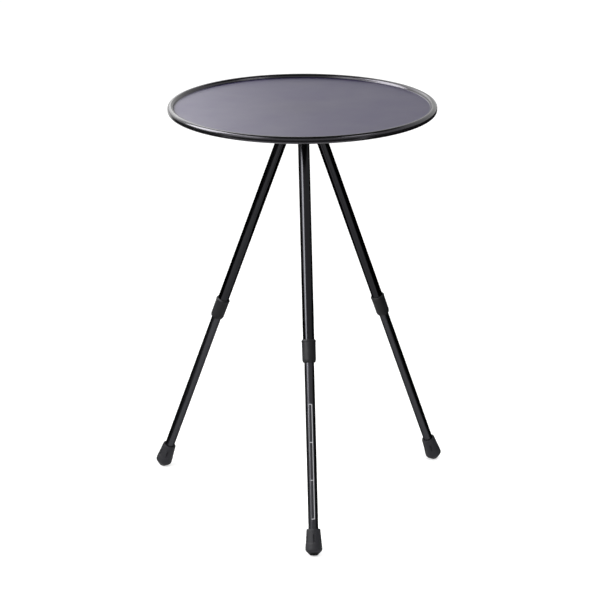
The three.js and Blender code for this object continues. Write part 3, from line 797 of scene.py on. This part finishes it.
# Under the tray
def make_socket():
    low, high, radius = reach("top_socket", hub_place)
    flange = high - SOCKET_FLANGE
    pocket = low + HUB_SPIGOT_HEIGHT + SEAT_GAP
    insert_low, insert_high, insert_radius = reach("socket_insert", hub_place)
    barrel = INSERT_BARREL + SEAT_GAP
    recess = high - INSERT_FLANGE - SEAT_GAP
    outline = rounded([
        (barrel, pocket, 0.4 * MM),
        (HUB_SPIGOT_RADIUS + SEAT_GAP, pocket, 0.4 * MM),
        (HUB_SPIGOT_RADIUS + SEAT_GAP, low, 0.6 * MM),
        (HUB_RADIUS, low, 0.8 * MM),
        (HUB_RADIUS, flange, 1.5 * MM),
        (radius, flange, 1.0 * MM),
        (radius, high, 0.6 * MM),
        (insert_radius + SEAT_GAP, high, 0.3 * MM),
        (insert_radius + SEAT_GAP, recess),
        (barrel, recess),
    ], closed=True)
    hole = (STUD_RADIUS + SEAT_GAP, flange - CUT_OVERRUN, high + CUT_OVERRUN, 32)
    holes = [moved(rod(*hole), stud_place(number)) for number in STUD_NUMBERS]
    web = [(HUB_RADIUS - 1 * MM, low + 1.2 * MM), (HUB_RADIUS + 1 * MM, low + 1.2 * MM),
           (radius - 3 * MM, flange - 0.8 * MM), (radius - 3 * MM, flange + 1 * MM),
           (HUB_RADIUS - 1 * MM, flange + 1 * MM)]
    webs = [moved(slab(web, SOCKET_WEB, 0.3 * MM), turn_z(turn + lean))
            for turn in LEG_TURNS for lean in (-SOCKET_WEB_LEAN, SOCKET_WEB_LEAN)]
    body = cut(joined(turned(outline, HUB_STEPS, closed=True), *webs), *holes)
    put(body, "socket_disc", "tabletop", NYLON, hub_place, "top_socket", sharp=22)

    inner = CLAMP_SCREW_RADIUS + SEAT_GAP
    under = high - INSERT_FLANGE
    corners = [(inner, insert_low, 0.4 * MM), (INSERT_BARREL, insert_low, 0.4 * MM),
               (INSERT_BARREL, under), (insert_radius, under, 0.2 * MM),
               (insert_radius, insert_high, 0.3 * MM), (inner, insert_high, 0.4 * MM)]

    def knurl(at, angle, height):
        if at < inner + 0.5 * MM or height > under - 0.4 * MM or height < insert_low + 0.5 * MM:
            return at
        return at - KNURL_DEPTH * (1 - math.cos(KNURLS * angle)) / 2

    put(reshaped(turned_sleeve(corners, 0.4 * MM, 6 * KNURLS), knurl), "brass_insert", "tabletop",
        BRASS, hub_place, "socket_insert")


def stud_place(number):
    """Where a weld stud stands in the hub's frame, turned to face out from the axis."""
    spot = hub_place.inverted() @ middle(f"weld_stud_{number}")
    return shift(spot.x, spot.y, 0) @ turn_z(math.degrees(math.atan2(spot.y, spot.x)))


def make_studs():
    for number in STUD_NUMBERS:
        place = hub_place @ stud_place(number)
        low, high, radius = reach(f"weld_stud_{number}", place)
        stud = threaded_rod([(0, low), (radius - 0.4 * MM, low, 0.1 * MM), (radius, low + 0.4 * MM),
                             (radius, high, 0.2 * MM), (0, high)], radius, M4_PITCH, low + 0.3 * MM,
                            high - 3 * MM)
        put(stud, f"tray_stud_{number}", "tabletop", ZINC, place, f"weld_stud_{number}")
        low, high, radius = reach(f"stud_washer_{number}", place)
        put(ring(STUD_RADIUS + SEAT_GAP, radius, low, high, 0.15 * MM), f"tray_washer_{number}",
            "tabletop", ZINC, place, f"stud_washer_{number}")
        low, high, _ = reach(f"stud_nut_{number}", place)
        put(hex_nut(M4_FLATS, STUD_RADIUS + SEAT_GAP, low, high), f"tray_nut_{number}", "tabletop",
            ZINC, place, f"stud_nut_{number}", sharp=20)


# Hub
def make_hub():
    low, high, _ = reach("tripod_hub", hub_place)
    top = high - HUB_SPIGOT_HEIGHT
    under = top - HUB_FLANGE
    body = turned(rounded([
        (0, low),
        (CORE_RADIUS, low, 1.2 * MM),
        (CORE_RADIUS, under, 1.5 * MM),
        (HUB_RADIUS, under, 1.2 * MM),
        (HUB_RADIUS, top, 0.8 * MM),
        (HUB_SPIGOT_RADIUS, top, 0.4 * MM),
        (HUB_SPIGOT_RADIUS, high, 0.7 * MM),
        (0, high),
    ]), HUB_STEPS)
    reach_out = PIVOT_RADIUS + EAR_RADIUS
    ears = rounded([(2 * MM, low), (CORE_FLAT, low), (CORE_FLAT + 2 * MM, -EAR_RADIUS, 1 * MM),
                    (PIVOT_RADIUS, -EAR_RADIUS)])
    ears += arc(PIVOT_RADIUS, 0, EAR_RADIUS, -90, 0, 12)[1:]
    ears += rounded([(reach_out, 1 * MM), (reach_out, top, 3 * MM), (2 * MM, top)])
    clevises = [moved(slab(ears, 2 * CLEVIS_HALF, 0.7 * MM), turn_z(turn)) for turn in LEG_TURNS]
    web = [(CORE_RADIUS - 1 * MM, under - 9 * MM), (CORE_RADIUS + 0.5 * MM, under - 9 * MM),
           (HUB_RADIUS - 1 * MM, under - 0.5 * MM), (HUB_RADIUS - 1 * MM, under + 1 * MM),
           (CORE_RADIUS - 1 * MM, under + 1 * MM)]
    webs = [moved(slab(web, HUB_WEB, 0.3 * MM), turn_z(turn + 60)) for turn in LEG_TURNS]
    body = joined(body, *clevises, *webs)

    side = CLEVIS_HALF + CUT_OVERRUN
    cutters = [rod(CLAMP_SCREW_RADIUS + SEAT_GAP, low - CUT_OVERRUN, high, 40),
               rod(RING_BORE, COUNTERBORE_LOW, high + CUT_OVERRUN, 48)]
    for turn in LEG_TURNS:
        slot = box((CORE_FLAT, -SLOT_HALF, low - CUT_OVERRUN),
                   (reach_out + CUT_OVERRUN, SLOT_HALF, SLOT_TOP))
        cutters.append(moved(slot, turn_z(turn)))
        holes = [rod(PIVOT_SHANK + SEAT_GAP, -side, side),
                 rod(PIVOT_HEAD + SEAT_GAP, -side, -HEAD_POCKET),
                 hex_bar(M4_FLATS + 2 * SEAT_GAP, NUT_POCKET, side)]
        cutters += [moved(hole, ALONG_Y, shift(PIVOT_RADIUS, 0, 0), turn_z(turn)) for hole in holes]
    put(cut(body, *cutters), "hub_moulding", "root", NYLON, hub_place, "tripod_hub", sharp=22)


def make_pivot(leg, turn):
    place = hub_place @ turn_z(turn) @ shift(PIVOT_RADIUS, 0, 0) @ ALONG_Y
    low, high, radius = reach(f"pivot_screw_{leg}", place)
    seat = -HEAD_POCKET - SEAT_GAP
    screw = threaded_rod([(0, low), (0.55 * radius, low, 1 * MM), (radius, low + 1.1 * MM, 0.5 * MM),
                          (radius, seat, 0.15 * MM), (PIVOT_SHANK, seat, 0.1 * MM),
                          (PIVOT_SHANK, high - 0.5 * MM, 0.1 * MM), (PIVOT_SHANK - 0.4 * MM, high),
                          (0, high)], PIVOT_SHANK, M4_PITCH, high - 6 * MM, high)
    key = hex_bar(PIVOT_KEY, low - CUT_OVERRUN, low + 1.3 * MM)
    put(cut(screw, key), f"{leg}_pivot_bolt", "root", ZINC, place, f"pivot_screw_{leg}", sharp=24)
    low, high, _ = reach(f"pivot_nut_{leg}", place)
    put(hex_nut(M4_FLATS, PIVOT_SHANK + SEAT_GAP, low, high), f"{leg}_lock_nut", "root", ZINC, place,
        f"pivot_nut_{leg}", sharp=20)


# Clamp
def make_clamp():
    low, high, radius = reach("clamp_knob", hub_place)
    cap_low, cap_high, cap_radius = reach("knob_cap", hub_place)
    bolt_low, bolt_high, _ = reach("clamp_screw", hub_place)
    corners = rounded([
        (0, low),
        (cap_radius + 2 * MM, low, 0.5 * MM),
        (cap_radius + 2.6 * MM, low + 0.5 * MM, 0.5 * MM),
        (radius - 2.2 * MM, low + 0.5 * MM, 1 * MM),
        (radius, low + 2.4 * MM, 1 * MM),
        (radius, high - 1.8 * MM, 1 * MM),
        (radius - 1.6 * MM, high, 0.8 * MM),
        (0, high),
    ])

    def lobes(at, angle, _):
        share = min(max((at - KNOB_ROUND_RADIUS) / (radius - KNOB_ROUND_RADIUS), 0), 1)
        return at - KNOB_LOBE_DEPTH / 2 * share * (1 - math.cos(KNOB_LOBES * angle))

    body = reshaped(turned(with_rows(corners, 0.8 * MM), 24 * KNOB_LOBES), lobes)
    pocket_top = high - KNOB_WEB
    cutters = [rod(CLAMP_SCREW_RADIUS + SEAT_GAP, low, high + CUT_OVERRUN),
               hex_bar(CLAMP_FLATS + 2 * SEAT_GAP, low - CUT_OVERRUN, pocket_top),
               rod(cap_radius + SEAT_GAP, low - CUT_OVERRUN, cap_high + SEAT_GAP, 72)]
    put(cut(body, *cutters), "hand_knob", "clamp", NYLON, hub_place, "clamp_knob", sharp=28)
    cap = turned(rounded([(0, cap_low), (0.35 * cap_radius, cap_low),
                          (cap_radius, cap_low + 0.35 * MM, 0.3 * MM), (cap_radius, cap_high, 0.2 * MM),
                          (0, cap_high)]), 72)
    put(cap, "knob_plug", "clamp", NYLON, hub_place, "knob_cap")

    head_high = pocket_top - SEAT_GAP
    neck = CLAMP_SCREW_RADIUS - GROOVE_DEPTH
    ring_low, ring_high, ring_radius = reach("retaining_ring", hub_place)
    shank = threaded_rod([
        (0, head_high - 1 * MM), (CLAMP_SCREW_RADIUS, head_high - 1 * MM),
        (CLAMP_SCREW_RADIUS, ring_low - SEAT_GAP), (neck, ring_low - SEAT_GAP),
        (neck, ring_high + SEAT_GAP), (CLAMP_SCREW_RADIUS, ring_high + SEAT_GAP),
        (CLAMP_SCREW_RADIUS, bolt_high - 0.8 * MM), (CLAMP_SCREW_RADIUS - 0.7 * MM, bolt_high),
        (0, bolt_high)], CLAMP_SCREW_RADIUS, M6_PITCH, ring_high + 1.2 * MM, bolt_high, steps=40)
    chamfer = turned([(0, bolt_low), (0.46 * CLAMP_FLATS, bolt_low),
                      (0.6 * CLAMP_FLATS, bolt_low + 0.7 * MM),
                      (0.6 * CLAMP_FLATS, head_high + CUT_OVERRUN), (0, head_high + CUT_OVERRUN)], 72)
    head = combined("INTERSECT", hex_bar(CLAMP_FLATS, bolt_low - CUT_OVERRUN, head_high), chamfer)
    put(joined(head, shank), "clamp_bolt", "clamp", ZINC, hub_place, "clamp_screw", sharp=24)

    low, high, radius = reach("clamp_washer", hub_place)
    put(ring(CLAMP_SCREW_RADIUS + SEAT_GAP, radius, low, high, 0.25 * MM), "bolt_washer", "washer", ZINC,
        hub_place, "clamp_washer")
    gap = box((0, -1 * MM, ring_low - CUT_OVERRUN), (2 * ring_radius, 1 * MM, ring_high + CUT_OVERRUN))
    clip = ring(neck + SEAT_GAP, ring_radius, ring_low, ring_high, 0.15 * MM)
    put(cut(clip, gap), "snap_ring", "clamp", ZINC, hub_place, "retaining_ring", sharp=24)


# Inside the legs
def make_knuckle(leg, place):
    """The knuckle and its pin; gives back the pin's height in the leg's own frame."""
    low = reach(f"leg_knuckle_{leg}", place)[0]
    pin_at = (place.inverted() @ middle(f"plug_pin_{leg}")).z
    _, tube_top, tube_radius = reach(f"upper_tube_{leg}", place)
    spigot = tube_radius - UPPER_WALL - SEAT_GAP
    start = tube_top + SEAT_GAP
    neck = start + KNUCKLE_SHOULDER
    splay = math.degrees(math.acos(place.col[2].z))
    half = TONGUE_HALF
    up = Vector((math.sin(math.radians(splay)), math.cos(math.radians(splay))))
    heel = half * (up + Vector((-up.y, up.x)))
    outline = [(-half, neck - 1 * MM), (half, neck - 1 * MM)] + arc(0, 0, half, 0, 90 - splay, 12)
    outline += rounded([outline[-1], (*heel, 0.6 * MM), (-half, 0)], steps=3)[1:-1]
    outline += arc(0, 0, half, 180 - splay, 180, 4)
    tongue = slab(outline, TONGUE_THICKNESS, 0.5 * MM)
    corners = [(0, low), (spigot - 0.7 * MM, low, 0.3 * MM), (spigot, low + 1 * MM, 0.5 * MM),
               (spigot, start), (UPPER_TUBE_RADIUS, start, 0.2 * MM),
               (UPPER_TUBE_RADIUS, neck, 0.6 * MM), (0, neck)]
    stem = turned(rounded(corners), TUBE_STEPS)
    flute = ((spigot - 1.2 * MM, -1.6 * MM, low + 3 * MM), (spigot + 1 * MM, 1.6 * MM, start - 3 * MM))
    flutes = [moved(box(*flute), turn_z(turn)) for turn in (0, 180)]
    pivot = moved(rod(PIVOT_SHANK + SEAT_GAP, -TONGUE_THICKNESS, TONGUE_THICKNESS), ALONG_Y)
    pin = moved(rod(PIN_RADIUS + SEAT_GAP, -2 * spigot, 2 * spigot), ALONG_Y, shift(0, 0, pin_at))
    put(cut(joined(tongue, stem), pivot, pin, *flutes), f"{leg}_knuckle", f"upper_leg_{leg}", NYLON,
        place, f"leg_knuckle_{leg}", sharp=22)

    across = place @ shift(0, 0, pin_at) @ ALONG_Y
    low, high, radius = reach(f"plug_pin_{leg}", across)
    pin = turned(rounded([(0, low), (radius - 0.3 * MM, low + 0.1 * MM, 0.3 * MM),
                          (radius, low + 0.5 * MM), (radius, high - 0.5 * MM),
                          (radius - 0.3 * MM, high - 0.1 * MM, 0.3 * MM), (0, high)]), 32)
    put(pin, f"{leg}_rivet", f"upper_leg_{leg}", ZINC, across, f"plug_pin_{leg}")
    return pin_at


def make_twist_lock(leg, place):
    low, high, radius = reach(f"expander_sleeve_{leg}", place)
    screw = EXPANDER_STUD + SEAT_GAP
    mouth = radius - SLEEVE_MOUTH_WALL
    foot_of_taper = high - SLEEVE_TAPER
    corners = [(screw, low, 0.2 * MM), (radius, low, 0.6 * MM), (radius, high, 0.5 * MM),
               (mouth, high, 0.3 * MM), (screw + SEAT_GAP, foot_of_taper), (screw, foot_of_taper)]

    def grip_rings(at, _, height):
        if at <= radius - 0.1 * MM:
            return at
        deep = window(height, low + 4 * MM, high - 3 * MM, 1 * MM)
        return at - SLEEVE_RING_DEPTH * deep * abs(math.sin(math.pi * height / SLEEVE_RING_PITCH))

    slot_low = high - SLEEVE_SLOT_SHARE * (high - low)
    slot = box((0, -SLEEVE_SLOT / 2, slot_low), (2 * radius, SLEEVE_SLOT / 2, high + CUT_OVERRUN))
    sleeve = cut(reshaped(turned_sleeve(corners, 0.5 * MM, TUBE_STEPS), grip_rings), slot)
    put(sleeve, f"{leg}_lock_sleeve", f"sleeve_{leg}", NYLON, place, f"expander_sleeve_{leg}",
        sharp=24)

    low, high, mouth_radius = reach(f"expander_cone_{leg}", place)
    taper = (mouth - screw - SEAT_GAP) / SLEEVE_TAPER
    head = high - CONE_HEAD
    tip = mouth_radius - taper * (head - low)
    cone = turned(rounded([(screw, low, 0.2 * MM), (tip, low, 0.3 * MM), (mouth_radius, head, 0.5 * MM),
                           (mouth_radius, high, 0.5 * MM), (screw, high, 0.4 * MM)], closed=True),
                  TUBE_STEPS, closed=True)
    deep, wide = CONE_NOTCH
    notch = ((mouth_radius - deep, -wide / 2, head + 1 * MM),
             (2 * mouth_radius, wide / 2, high + CUT_OVERRUN))
    notches = [moved(box(*notch), turn_z(turn)) for turn in (0, 90, 180, 270)]
    put(cut(cone, *notches), f"{leg}_lock_cone", f"cone_{leg}", NYLON, place, f"expander_cone_{leg}",
        sharp=24)

    low, high, radius = reach(f"expander_stud_{leg}", place)
    stud = threaded_rod([(0, low), (radius - 0.5 * MM, low), (radius, low + 0.5 * MM),
                         (radius, high - 0.5 * MM), (radius - 0.5 * MM, high), (0, high)],
                        radius, M5_PITCH, low, high)
    put(stud, f"{leg}_lock_stud", f"lower_leg_{leg}", ZINC, place, f"expander_stud_{leg}")

    low, high, radius = reach(f"expander_plug_{leg}", place)
    flange = high - PLUG_FLANGE
    body = radius - LOWER_WALL - SEAT_GAP
    corners = [(screw, low, 0.3 * MM), (body, low, 0.8 * MM), (body, flange),
               (radius, flange, 0.2 * MM), (radius, high, 0.4 * MM), (screw, high, 0.3 * MM)]

    def crush_ribs(at, angle, height):
        if at < screw + 1 * MM or height > flange - 0.5 * MM:
            return at
        away = abs(to_nearest(angle, PLUG_RIBS)) * body
        return at - PLUG_RIB_DEPTH * window(away, 0.8 * MM, 9 * MM, 0.5 * MM)

    put(reshaped(turned_sleeve(corners, 0.8 * MM, PLUG_STEPS), crush_ribs), f"{leg}_lock_plug",
        f"lower_leg_{leg}", NYLON, place, f"expander_plug_{leg}")


make_tray()
make_socket()
make_studs()
make_hub()
make_clamp()
for leg, turn in zip(LEG_NAMES, LEG_TURNS):
    place = leg_place(leg)
    make_pivot(leg, turn)
    pin_at = make_knuckle(leg, place)
    make_tube(leg, place, "upper", UPPER_WALL, UPPER_TUBE, pin_at)
    make_tube(leg, place, "lower", LOWER_WALL, LOWER_TUBE)
    make_collar(leg, place)
    make_twist_lock(leg, place)
    make_foot(leg, place)


# Studio
def make_camera():
    camera = new_object("camera", bpy.data.cameras.new("camera"))
    camera.data.lens = CAMERA_LENS
    camera.data.sensor_width = CAMERA_SENSOR
    pitch = Matrix.Rotation(math.radians(CAMERA_PITCH), 4, "X")
    camera.matrix_world = shift(*CAMERA_PLACE) @ turn_z(CAMERA_HEADING) @ pitch @ turn_z(CAMERA_ROLL)
    bpy.context.scene.camera = camera


def seen_share(tree):
    """One for rays that look, straight, mirrored or through glass, and zero for rays that light."""
    path = add(tree, "LightPath").outputs
    seen = add(tree, "Math", {"operation": "ADD"}, i0=path["Is Camera Ray"], i1=path["Is Glossy Ray"])
    seen = add(tree, "Math", {"operation": "ADD", "use_clamp": True}, i0=seen.outputs[0],
               i1=path["Is Transmission Ray"])
    return seen.outputs[0]


def make_world():
    world = bpy.data.worlds.new("studio")
    bpy.context.scene.world = world
    world.use_nodes = True
    tree = world.node_tree
    tree.nodes.clear()
    level = add(tree, "MapRange", Value=seen_share(tree), To_Min=SKY_LIGHT, To_Max=1.0)
    sky = add(tree, "Background", Color=(1, 1, 1, 1), Strength=level.outputs["Result"])
    add(tree, "OutputWorld", Surface=sky.outputs["Background"])
    world.cycles.sampling_method = "NONE"


def make_floor():
    """A white floor that glows a little to the eye, and that is clear from below."""
    bm = bmesh.new()
    bmesh.ops.create_grid(bm, x_segments=1, y_segments=1, size=FLOOR_HALF)
    floor = as_object(bm, "floor")
    material, tree = new_material("white_floor")
    matt = add(tree, "BsdfDiffuse", Color=(0.8, 0.8, 0.8, 1))
    lift = add(tree, "Math", {"operation": "MULTIPLY"}, i0=seen_share(tree), i1=FLOOR_GLOW)
    glow = add(tree, "Emission", Color=(1, 1, 1, 1), Strength=lift.outputs[0])
    both = add(tree, "AddShader", i0=matt.outputs[0], i1=glow.outputs[0])
    below = add(tree, "NewGeometry").outputs["Backfacing"]
    clear = add(tree, "BsdfTransparent")
    whole = add(tree, "MixShader", i0=below, i1=both.outputs[0], i2=clear.outputs[0])
    material.cycles.emission_sampling = "NONE"
    floor.data.materials.append(finished(material, whole))


def make_lamp(name, azimuth, distance, height, size, level, lights, tray=True):
    """A soft lamp by its place, its width and height, how bright it looks and what it lights."""
    turn = math.radians(azimuth)
    place = Vector((distance * math.cos(turn), distance * math.sin(turn), height))
    data = bpy.data.lights.new(name, "AREA")
    data.shape = "RECTANGLE"
    data.size, data.size_y = size
    data.energy = LAMP_WATTS * size[0] * size[1] * level
    lamp = new_object(name, data)
    lamp.visible_diffuse = lights == "matt"
    lamp.visible_glossy = lights == "shine"
    facing = (Vector((0, 0, LAMP_AIM)) - place).to_track_quat("-Z", "Y").to_matrix().to_4x4()
    lamp.matrix_world = Matrix.Translation(place) @ facing
    if not tray:
        passed_by = bpy.data.collections.new(f"{name}_passes_by")
        passed_by.objects.link(bpy.data.objects["spun_tray"])
        passed_by.collection_objects[0].light_linking.link_state = "EXCLUDE"
        lamp.light_linking.receiver_collection = passed_by


def make_flag(name, start, end, outline):
    """A black card round the table that only reflections see, from its distances and heights."""
    bm = bmesh.new()
    corners = [bm.verts.new((distance, 0, height)) for distance, height in outline]
    edges = [bm.edges.new(pair) for pair in zip(corners, corners[1:])]
    bmesh.ops.rotate(bm, verts=corners, cent=(0, 0, 0), matrix=turn_z(start).to_3x3())
    bmesh.ops.spin(bm, geom=corners + edges, cent=(0, 0, 0), axis=(0, 0, 1),
                   angle=math.radians(end - start), steps=24)
    flag = as_object(bm, name)
    material, tree = new_material("black_flock")
    flag.data.materials.append(finished(material, add(tree, "BsdfDiffuse", Color=(0, 0, 0, 1))))
    flag.visible_camera = False
    flag.visible_diffuse = False
    flag.visible_shadow = False


make_camera()
make_world()
make_floor()
# Lamps: turn round the table, distance, height, width and height, level, what they light
make_lamp("left_softbox", 218, 1.3, 1.13, (0.7, 1.04), 14.5, "shine", tray=False)
make_lamp("left_softbox_dim", 218, 1.31, 1.13, (0.7, 1.04), 1.5, "shine")
make_lamp("left_tall", 170, 1.9, 1.9, (1.4, 1.9), 12, "shine")
make_lamp("left_high", 214, 1.32, 1.9, (0.5, 0.75), 5, "shine")
make_lamp("right_high", -38, 1.5, 2.02, (0.8, 0.6), 5, "shine")
make_lamp("back_low", 118, 1.3, 1.0, (1.1, 0.5), 1.0, "shine")
make_lamp("back_high", 112, 1.3, 1.5, (1.15, 0.85), 1.5, "shine")
make_lamp("left_fill", 199, 1.9, 1.22, (2.3, 1.2), 4, "matt")
make_lamp("top_fill", -50, 3.0, 3.0, (2.0, 2.0), 4, "matt")
make_flag("right_flag", -40, 95, [(0.3, 0.002), (1.3, 0.002), (1.3, 0.5)])
make_flag("left_flag", 128, 200, [(0.3, 0.002), (1.3, 0.002), (1.3, 0.5)])
make_flag("front_flag", 205, 315, [(1.4, 0.002), (3.0, 0.002), (3.0, 0.25)])
make_flag("top_flag", 0, 360, [(0.01, 2.6), (2.3, 2.6)])
bpy.context.scene.view_settings.view_transform = "Standard"

bpy.context.view_layer.update()
